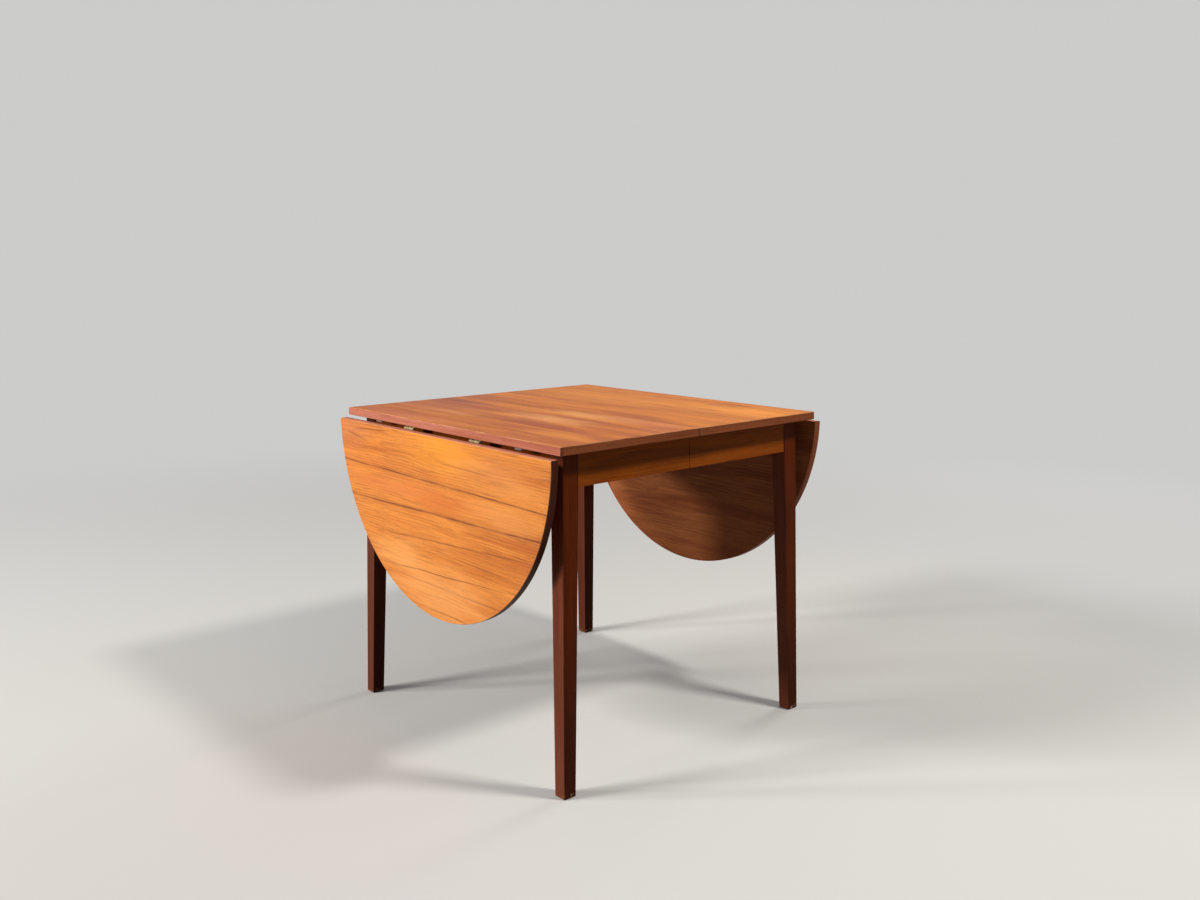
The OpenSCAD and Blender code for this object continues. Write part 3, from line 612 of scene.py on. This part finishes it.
# %% Figure of the top
TOP_BLUSHES = [
    ((0.32, -0.20), (0.24, 0.12), "a45c42", 0.55),
    ((0.38, -0.110), (0.15, 0.028), "84483c", 0.75),
    ((0.42, -0.03), (0.20, 0.09), "a55c3c", 0.55),
    ((0.38, 0.115), (0.13, 0.025), "a35c36", 0.45),
    ((-0.02, -0.218), (0.22, 0.014), "96502f", 0.60),
    ((-0.09, -0.160), (0.15, 0.048), "e3a062", 0.68),
    ((-0.12, -0.055), (0.17, 0.044), "dc9a56", 0.60),
    ((-0.32, 0.285), (0.24, 0.070), "e79233", 0.75),
    ((0.05, 0.240), (0.50, 0.090), "db8b39", 0.45),
    ((0.22, -0.258), (0.22, 0.018), "da914a", 0.60),
    ((-0.30, -0.035), (0.16, 0.040), "bf754e", 0.55),
    ((-0.30, -0.300), (0.12, 0.045), "da8d37", 0.50),
    ((0.25, -0.375), (0.30, 0.035), "bd6a49", 0.50),
    ((-0.40, -0.09), (0.06, 0.06), "a35a40", 0.60)]
TOP_STREAKS = [
    (-0.1130, 0.0, 0.0036, 0.95, 0.0, 0.60), (0.1700, 0.0, 0.0034, 0.80, 0.05, 0.55),
    (0.0980, 0.0, 0.0034, 0.75, -0.05, 0.50), (-0.2560, 0.0, 0.0024, 0.50, 0.1, 0.5),
    (0.2350, -0.03, 0.0060, 0.80, -0.19, 0.09), (0.3300, 0.06, 0.0060, 0.80, -0.22, 0.09),
    (-0.0040, 0.0, 0.0050, 0.80, -0.30, 0.16), (0.0250, 0.010, 0.0030, 0.55, -0.18, 0.22),
    (-0.3300, 0.012, 0.0028, 0.50, -0.1, 0.40), (0.1400, 0.0, 0.0026, 0.50, 0.12, 0.35),
    (-0.1960, 0.004, 0.0028, 0.50, 0.1, 0.40), (-0.0620, 0.0, 0.0024, 0.45, 0.2, 0.30),
    (0.2100, 0.006, 0.0024, 0.40, 0.1, 0.35), (0.2880, -0.004, 0.0026, 0.45, 0.05, 0.40)]
print("top: blushes", len(TOP_BLUSHES), "streaks", len(TOP_STREAKS))

# %% [markdown]
# The lippings along the hinge sides and the split run right through, so their cut ends show
# on the front and the back, as narrow, dark, finely dotted oblongs. Those of the left half
# are darker, which tells the two at the seam apart. All other edges show long grain.

# %% Edges of the top
AXES = {"x": (0, 1, 2), "y": (1, 0, 2), "z": (2, 0, 1)}
EDGE_PITH, EDGE_RING, EDGE_WANDER = (0.05, 0.03, 0.01), 0.004, 0.5
END_GRAIN = [(0.26, "5c3626"), (0.38, "70412b"), (0.56, "8e5534")]
END_DOTS = (900, 3.0)
LEFT_END, RIGHT_END, LEFT_END_TONE = -0.0008, -0.0002, -0.16


def turned(place, axis):
    """Returns a place as (along, across, through) for grain along an axis."""
    return [place[i] for i in AXES[axis]]


def solid_edge(tree, place, look):
    """Returns the colour of a lipping's long grain; place is (along, across, through)."""
    return wood_colour(tree, place, look, EDGE_PITH, EDGE_RING, EDGE_WANDER)[0]


def end_grain(tree, x, z):
    """Returns the colour of a lipping's cut end."""
    dots = noise(tree, vector(tree, x, 0.0, z), *END_DOTS)
    tone = remap(tree, x, LEFT_END, RIGHT_END, LEFT_END_TONE, 0.0)
    return ramp(tree, total(tree, tone, dots), END_GRAIN)


print("end grain:", [code for position, code in END_GRAIN])

# %% [markdown]
# Now the top's wood comes together. The face gets its strips and figure, hairlines show where
# the lippings are glued on and a stronger one where the halves meet, and then the face, the
# edge and the back are joined. Two materials do: in one the grain of the edges runs along y,
# in the other along x.

# %% Wood of the top
TOP_Z, UNDERSIDE_Z = 0.730, 0.711
HALF_LENGTH, HALF_WIDTH, LIPPING = 0.402, 0.435, 0.007
VENEER_RING, VENEER_WANDER = 0.006, 0.6
TOP_BACK_PITH = (0.3, 0.1, 0.02)
GLUE_SHARE, SEAM_SHARE, SEAM_NARROWER = 0.35, 0.8, 0.7
END_START, END_FULL = 0.0012, 0.0006
TOP_ROUGHNESS = 0.44


def top_wood(name, axis, look, names):
    """Makes the wood of the top, with solid edges whose grain runs along an axis."""
    material, tree, shader, (x, y, z) = new_material(name)
    flow = (y, x, less(tree, z, TOP_Z))
    pith = [choose(tree, x, TOP_EDGES, values) for values in (TOP_PITHS, TOP_DEPTHS, TOP_LEANS)]
    tone = choose(tree, x, TOP_EDGES, TOP_TONES)
    # The face's bands are darker than the leaves', as painted shade.
    face, relief = wood_colour(tree, flow, TOP, pith, VENEER_RING, VENEER_WANDER, tone)
    face = figured(tree, y, x, face, TOP_BLUSHES, TOP_STREAKS)
    wide, deep = calc(tree, "ABSOLUTE", x), calc(tree, "ABSOLUTE", y)
    face = joint_line(tree, face, less(tree, wide, HALF_LENGTH - LIPPING), GLUE_SHARE)
    face = joint_line(tree, face, less(tree, deep, HALF_WIDTH - LIPPING), GLUE_SHARE)
    face = joint_line(tree, face, product(tree, x, SEAM_NARROWER), SEAM_SHARE)
    edge = solid_edge(tree, turned((x, y, z), axis), look)
    if axis == "y":
        cut = remap(tree, deep, HALF_WIDTH - END_START, HALF_WIDTH - END_FULL)
        edge = mix(tree, cut, edge, end_grain(tree, x, z))
    back = wood_colour(tree, flow, UNDER, TOP_BACK_PITH, VENEER_RING, VENEER_WANDER)[0]
    colour = layered(tree, less(tree, z, UNDERSIDE_Z), TOP_Z - UNDERSIDE_Z, face, edge, back,
                     vector(tree, x, y, z))
    finish(tree, shader, colour, relief, TOP_ROUGHNESS)
    dress(material, names)


both = ("left", "right")
ends = ("front", "back")
top_wood("teak_top", "y", PINK, [f"{piece}_{half}" for half in both for piece in
                                 ("top_panel", "outer_lipping", "inner_lipping")])
# The front and back lippings take the darker edge palette, partly painted shade.
top_wood("teak_top_sides", "x", EDGE, [f"{end}_lipping_{half}" for half in both
                                       for end in ends])
print("top:", round(1000 * (TOP_Z - UNDERSIDE_Z)), "mm thick,", round(2 * HALF_LENGTH, 3), "by",
      round(2 * HALF_WIDTH, 3), "m")

# %% [markdown]
# The leaves are veneered like the top. Their grain runs along the hinge line, so on a raised
# leaf it runs the same way as on the top. The CAD model's leaves hang and lean inwards by two
# degrees, so a place on a leaf is turned by that angle: its depth is the distance below the
# hinge, which is the direction across the grain, and its level is the height above the inner
# face.

# %% Places on a hanging leaf
HINGE_X, HINGE_Z = 0.40225, 0.7057
HANG_LEAN = math.radians(2)
LEAF_INNER = 0.0053


def leaf_place(tree, x, z, sign):
    """Returns the depth below the hinge and the level above the leaf's inner face."""
    out = less(tree, product(tree, x, sign), HINGE_X)
    drop = less(tree, HINGE_Z, z)
    depth = less(tree, product(tree, drop, math.cos(HANG_LEAN)),
                 product(tree, out, math.sin(HANG_LEAN)))
    sunk = less(tree, product(tree, drop, math.sin(HANG_LEAN)), LEAF_INNER)
    return depth, total(tree, product(tree, out, math.cos(HANG_LEAN)), sunk)


print("leaf leans by", round(math.degrees(HANG_LEAN), 1), "degrees")

# %% [markdown]
# Each leaf is laid up from three strips. Two dark streaks cross the whole near leaf, and
# shorter ones follow the flames of its lower half. The other leaf has its own set. The rows
# have the same columns as those of the top.

# %% Figure of the leaves
LEAF_EDGES = (0.112, 0.205)
LEAF_PITHS = (0.045, 0.30, 0.335)
LEAF_DEPTHS = (0.004, 0.05, 0.004)
LEAF_LEANS = (0.035, 0.02, 0.045)
LEFT_BLUSHES = [
    ((0.38, 0.030), (0.10, 0.040), "c97c55", 0.55),
    ((-0.05, 0.030), (0.17, 0.060), "f7a23a", 0.60),
    ((0.12, 0.142), (0.40, 0.026), "d97c46", 0.55),
    ((-0.02, 0.150), (0.11, 0.026), "cb6a2f", 0.40),
    ((0.17, 0.300), (0.12, 0.045), "f3ad64", 0.50),
    ((-0.28, 0.145), (0.16, 0.040), "f2a55c", 0.45),
    ((0.00, 0.360), (0.24, 0.080), "f6ab66", 0.55),
    ((-0.25, 0.060), (0.20, 0.050), "efa264", 0.35)]
LEFT_STREAKS = [
    (0.1065, -0.0135, 0.0048, 0.80, 0.0, 0.75), (0.1785, 0.018, 0.0062, 0.80, 0.0, 0.75),
    (0.2410, 0.052, 0.0028, 0.62, -0.05, 0.38), (0.2435, 0.052, 0.0040, 0.60, 0.17, 0.06),
    (0.2620, -0.040, 0.0022, 0.50, -0.15, 0.22), (0.3170, 0.055, 0.0026, 0.68, -0.01, 0.32),
    (0.3450, 0.000, 0.0020, 0.45, -0.10, 0.24), (0.4030, 0.000, 0.0034, 0.55, 0.00, 0.14),
    (-0.0056, 0.070, 0.0034, 0.70, 0.28, 0.10), (0.0930, -0.160, 0.0045, 0.50, 0.35, 0.06),
    (0.0555, -0.030, 0.0032, 0.55, -0.12, 0.12)]
RIGHT_BLUSHES = [
    ((0.20, 0.060), (0.22, 0.050), "f5a850", 0.50),
    ((-0.25, 0.160), (0.18, 0.040), "ca7746", 0.50),
    ((0.05, 0.290), (0.20, 0.050), "f2ad66", 0.50)]
RIGHT_STREAKS = [
    (0.0850, 0.012, 0.0045, 0.70, 0.0, 0.75), (0.2150, -0.020, 0.0060, 0.75, 0.0, 0.75),
    (0.3000, 0.040, 0.0035, 0.50, 0.10, 0.30), (0.1500, -0.050, 0.0030, 0.45, -0.20, 0.20),
    (0.3500, 0.020, 0.0035, 0.50, 0.00, 0.20)]
print("leaf streaks:", len(LEFT_STREAKS), len(RIGHT_STREAKS))

# %% [markdown]
# A leaf has two kinds of edge. The straight lipping on the hinge side is like the top's. The
# curved one is bent round the arc, so its grain follows the turn. On the left leaf it is dark,
# partly from a darker stain and partly as painted shade. A curve's place is its turn along the
# arc and its distance from the arc's centre, which lies a little above the hinge.

# %% Wood of the leaves
LEAF_THICKNESS = 0.019
LEAF_RADIUS, ARC_INSET = 0.435, 0.015
LEAF_BACK_PITH = (0.25, 0.08, 0.02)
LEAF_GLUE_SHARE = 0.12
LEAF_ROUGHNESS = 0.42


def leaf_wood(name, sign, figure, rim, names):
    """Makes one leaf's wood; sign is -1 for the left leaf and 1 for the right one."""
    material, tree, shader, (x, y, z) = new_material(name)
    depth, level = leaf_place(tree, x, z, sign)
    along = product(tree, y, -sign)
    flow = (along, depth, level)
    pith = [choose(tree, depth, LEAF_EDGES, values)
            for values in (LEAF_PITHS, LEAF_DEPTHS, LEAF_LEANS)]
    face, relief = wood_colour(tree, flow, ORANGE, pith, VENEER_RING, VENEER_WANDER)
    face = figured(tree, along, depth, face, *figure)
    below = total(tree, depth, ARC_INSET)
    radius = length(tree, y, below)
    face = joint_line(tree, face, less(tree, radius, LEAF_RADIUS - LIPPING), LEAF_GLUE_SHARE)
    turn = product(tree, calc(tree, "ARCTAN2", y, below), LEAF_RADIUS)
    edge_flow = (turn, level, radius) if rim else (along, level, depth)
    edge = solid_edge(tree, edge_flow, rim or PINK)
    back = wood_colour(tree, flow, UNDER, LEAF_BACK_PITH, VENEER_RING, VENEER_WANDER)[0]
    colour = layered(tree, level, LEAF_THICKNESS, face, edge, back, vector(tree, x, y, z))
    finish(tree, shader, colour, relief, LEAF_ROUGHNESS)
    dress(material, names)


# The left leaf's rim palette holds painted shade.
for side, sign, rim, figure in (("left", -1, DARK_AND_SHADED, (LEFT_BLUSHES, LEFT_STREAKS)),
                                ("right", 1, EDGE, (RIGHT_BLUSHES, RIGHT_STREAKS))):
    leaf_wood("teak_leaf_" + side, sign, figure, None,
              ["leaf_panel_" + side, "leaf_hinge_lipping_" + side])
    leaf_wood(f"teak_leaf_{side}_curve", sign, figure, rim, ["leaf_curved_lipping_" + side])
print("leaves:", round(1000 * LEAF_RADIUS), "mm in radius")

# %% [markdown]
# The legs are worn. The two faces of a leg that are cut flat from the board took less stain
# than the two quarter-cut ones, and they are also painted lighter, as faces that the light
# falls on; the direction that a face looks in tells them apart. The quarter-cut faces darken
# towards the floor and the two back legs are darker, and both are painted shade. The stain
# wears off first along the outer arrises, where the paler line is partly a painted highlight,
# and mops chip it at the feet. Blender's pointiness could find the arrises, but it needs many
# points, and a CAD face has only those at its corners. So the distance from a leg's outer
# corner finds them.

# %% Wear, painted light and painted shade of the legs
LEG_X, LEG_Y = 0.370, 0.403
SOLID_WANDER = 0.25
PAINTED_SHADE_TINT, RUBBED_STAIN_AND_HIGHLIGHT, CHIPPED_STAIN = "2a0b03", "965438", "d2ac84"
# Painted shade: darker towards the floor, between these heights.
FOOT_SHADE_LOW, FOOT_SHADE_HIGH, FOOT_SHADE_SHARE = 0.08, 0.42, 0.62
# Faces that look along x are paler, partly as painted light.
QUARTER_AND_SHADED_CUT, FLAT_AND_LIT_CUT = 0.4, 0.9
# Painted shade on the two back legs.
BACK_LEG_SHADE_SPAN, BACK_LEG_SHADE_SHARE = (-0.1, 0.1), 0.40
LEG_PATCHES, LEG_PATCH_CUT, LEG_RUB_AND_HIGHLIGHT_RANGE = (30, 4.0), (0.46, 0.70), (0.04, 0.40)
# The paler arris line is partly rubbed-off stain and partly a painted highlight.
LEG_RUB_AND_HIGHLIGHT_START, LEG_RUB_AND_HIGHLIGHT_END = 0.0006, 0.0020
CHIPS, CHIP_CUT, CHIP_LEVEL = (190, 3.0, 0.7), (0.55, 0.60), (0.002, 0.012)
CHIP_SHARE, FLAT_CHIP_SHARE = 0.85, 0.25


def stain_wear_and_painted_light(tree, colour, xyz, place, pith, ring):
    """Returns a leg's colour with its paler faces, darker foot, rubbed arris and chips.

    The paler faces and the arris are partly painted light, and the darker foot and back legs
    are painted shade.
    """
    x, y, z = xyz
    spot = vector(tree, x, y, z)
    # Painted shade: the quarter-cut faces darken towards the floor.
    painted_foot_shade = remap(tree, z, FOOT_SHADE_LOW, FOOT_SHADE_HIGH, FOOT_SHADE_SHARE, 0.0)
    colour = mix(tree, painted_foot_shade, colour, linear(PAINTED_SHADE_TINT))
    # Faces that look along x are paler: partly less stain, partly painted light.
    facing = tree.nodes.new("ShaderNodeSeparateXYZ")
    put(tree, tree.nodes.new("ShaderNodeTexCoord").outputs["Normal"], facing.inputs[0])
    flat_and_lit = remap(tree, calc(tree, "ABSOLUTE", facing.outputs[0]), QUARTER_AND_SHADED_CUT, FLAT_AND_LIT_CUT)
    paler = wood_colour(tree, place, FLAT_AND_LIT, pith, ring, SOLID_WANDER)[0]
    colour = mix(tree, flat_and_lit, colour, paler)
    # Painted shade: the two back legs are darker.
    painted_back_shade = remap(tree, y, *BACK_LEG_SHADE_SPAN, 0.0, BACK_LEG_SHADE_SHARE)
    colour = mix(tree, painted_back_shade, colour, linear(PAINTED_SHADE_TINT))
    # The paler line on the outer arrises: partly wear, partly a painted highlight.
    outward = total(tree, calc(tree, "ABSOLUTE", x), calc(tree, "ABSOLUTE", y))
    inward = less(tree, LEG_X + LEG_Y, outward)
    patchy = remap(tree, noise(tree, spot, *LEG_PATCHES), *LEG_PATCH_CUT, *LEG_RUB_AND_HIGHLIGHT_RANGE)
    arris = remap(tree, inward, LEG_RUB_AND_HIGHLIGHT_START, LEG_RUB_AND_HIGHLIGHT_END, 1.0, 0.0)
    colour = mix(tree, product(tree, arris, patchy), colour, linear(RUBBED_STAIN_AND_HIGHLIGHT))
    chips = remap(tree, noise(tree, spot, *CHIPS), *CHIP_CUT)
    foot = remap(tree, z, *CHIP_LEVEL, 1.0, 0.0)
    spared = remap(tree, flat_and_lit, 0.0, 1.0, CHIP_SHARE, FLAT_CHIP_SHARE)
    return mix(tree, product(tree, chips, foot, spared), colour, linear(CHIPPED_STAIN))


print("chips reach up to", 1000 * CHIP_LEVEL[1], "mm")

# %% [markdown]
# The rest of the frame is solid wood too. The legs and aprons are stained and varnished, and
# what sits under the top was left bare, as in most factory furniture: paler, duller and a
# little fuzzy. The grain is only lengthwise, so each material says which axis runs along it.

# %% Solid wood
def solid_wood(name, look, axis, pith, ring, roughness, names, worn=False):
    """Makes straight solid wood with the grain along an axis, and dresses nodes in it."""
    material, tree, shader, xyz = new_material(name)
    place = turned(xyz, axis)
    colour, relief = wood_colour(tree, place, look, pith, ring, SOLID_WANDER)
    # The legs get wear, and painted shade and painted light with it.
    if worn:
        colour = stain_wear_and_painted_light(tree, colour, xyz, place, pith, ring)
    finish(tree, shader, colour, relief, roughness)
    dress(material, names)


solid_wood("stained_leg", STAINED, "z", pith=(0.05, 0.03, 0.02), ring=0.005, roughness=0.40,
           names=[f"leg_{half}_{end}" for half in both for end in ends], worn=True)
solid_wood("apron_crosswise", APRON, "y", pith=(0.2, -0.66, 0.02), ring=0.006,
           roughness=0.42, names=[f"end_apron_{half}" for half in both])
solid_wood("apron_lengthwise", APRON, "x", pith=(0.2, -0.66, 0.02), ring=0.006,
           roughness=0.42, names=[f"side_apron_{half}_{end}" for half in both for end in ends])
solid_wood("bare_blocks", BARE, "z", pith=(0.1, 0.06, 0.02), ring=0.005, roughness=0.62,
           names=[f"corner_block_{half}_{end}" for half in both for end in ends])
solid_wood("bare_runners", BARE, "x", pith=(0.5, -0.6, 0.01), ring=0.004, roughness=0.55,
           names=[f"{kind}_runner_{end}" for kind in ("grooved", "tongued") for end in ends]
           + ["dowels"])
solid_wood("bare_battens", BARE, "y", pith=(0.3, -0.6, 0.01), ring=0.004, roughness=0.60,
           names=[f"batten_{half}" for half in both])
print("materials so far:", len(bpy.data.materials))

# %% [markdown]
# The hinges are brass that has gone dull, and the bars, guides, pins and screws are bright
# steel. Both get fine brushing, a few darker stains and slightly uneven gloss. The brushing
# is noise that is drawn out along one axis. A metal's colour is the colour of its reflections,
# so the stains are another metal colour and duller.

# %% Brass and steel
TARNISH, TARNISH_STOPS, TARNISH_CUT = (60, 4.0, 0.65), (0.38, 0.58), (0.3, 0.7)
TARNISH_DULLER = 0.18
BRUSHING, BRUSH_STRETCH = (1800, 2.0), 0.05
BRUSH_STRENGTH, BRUSH_DEPTH = 0.35, 0.00008


def metal(name, light, dark, roughness, names):
    """Makes a worn metal from two tones and dresses nodes in it."""
    material, tree, shader, (x, y, z) = new_material(name)
    stain = noise(tree, vector(tree, x, y, z), *TARNISH)
    colour = ramp(tree, stain, list(zip(TARNISH_STOPS, (dark, light))))
    put(tree, colour, shader.inputs["Base Color"])
    put(tree, remap(tree, stain, *TARNISH_CUT, roughness + TARNISH_DULLER, roughness),
        shader.inputs["Roughness"])
    shader.inputs["Metallic"].default_value = 1.0
    brushed = noise(tree, vector(tree, product(tree, x, BRUSH_STRETCH), y, z), *BRUSHING)
    emboss(tree, shader, brushed, BRUSH_STRENGTH, BRUSH_DEPTH)
    dress(material, names)


metal("dull_brass", light="c0b088", dark="776443", roughness=0.42,
      names=[f"{kind}hinge_plate_{half}_{end}" for kind in ("", "leaf_") for half in both
             for end in ends] + [f"hinge_pins_{half}" for half in both])
metal("bright_steel", light="c9c7c2", dark="8f8b84", roughness=0.28,
      names=[f"support_bar_{half}_{end}" for half in both for end in ends] + ["stop_pins"]
      + [f"{kind}_{half}" for half in both
         for kind in ("bar_guides", "small_screws", "frame_screws", "leaf_screws")])
worn_by = {material.name for name in nodes for material in nodes[name].data.materials}
print("materials that the pieces wear:", sorted(worn_by))
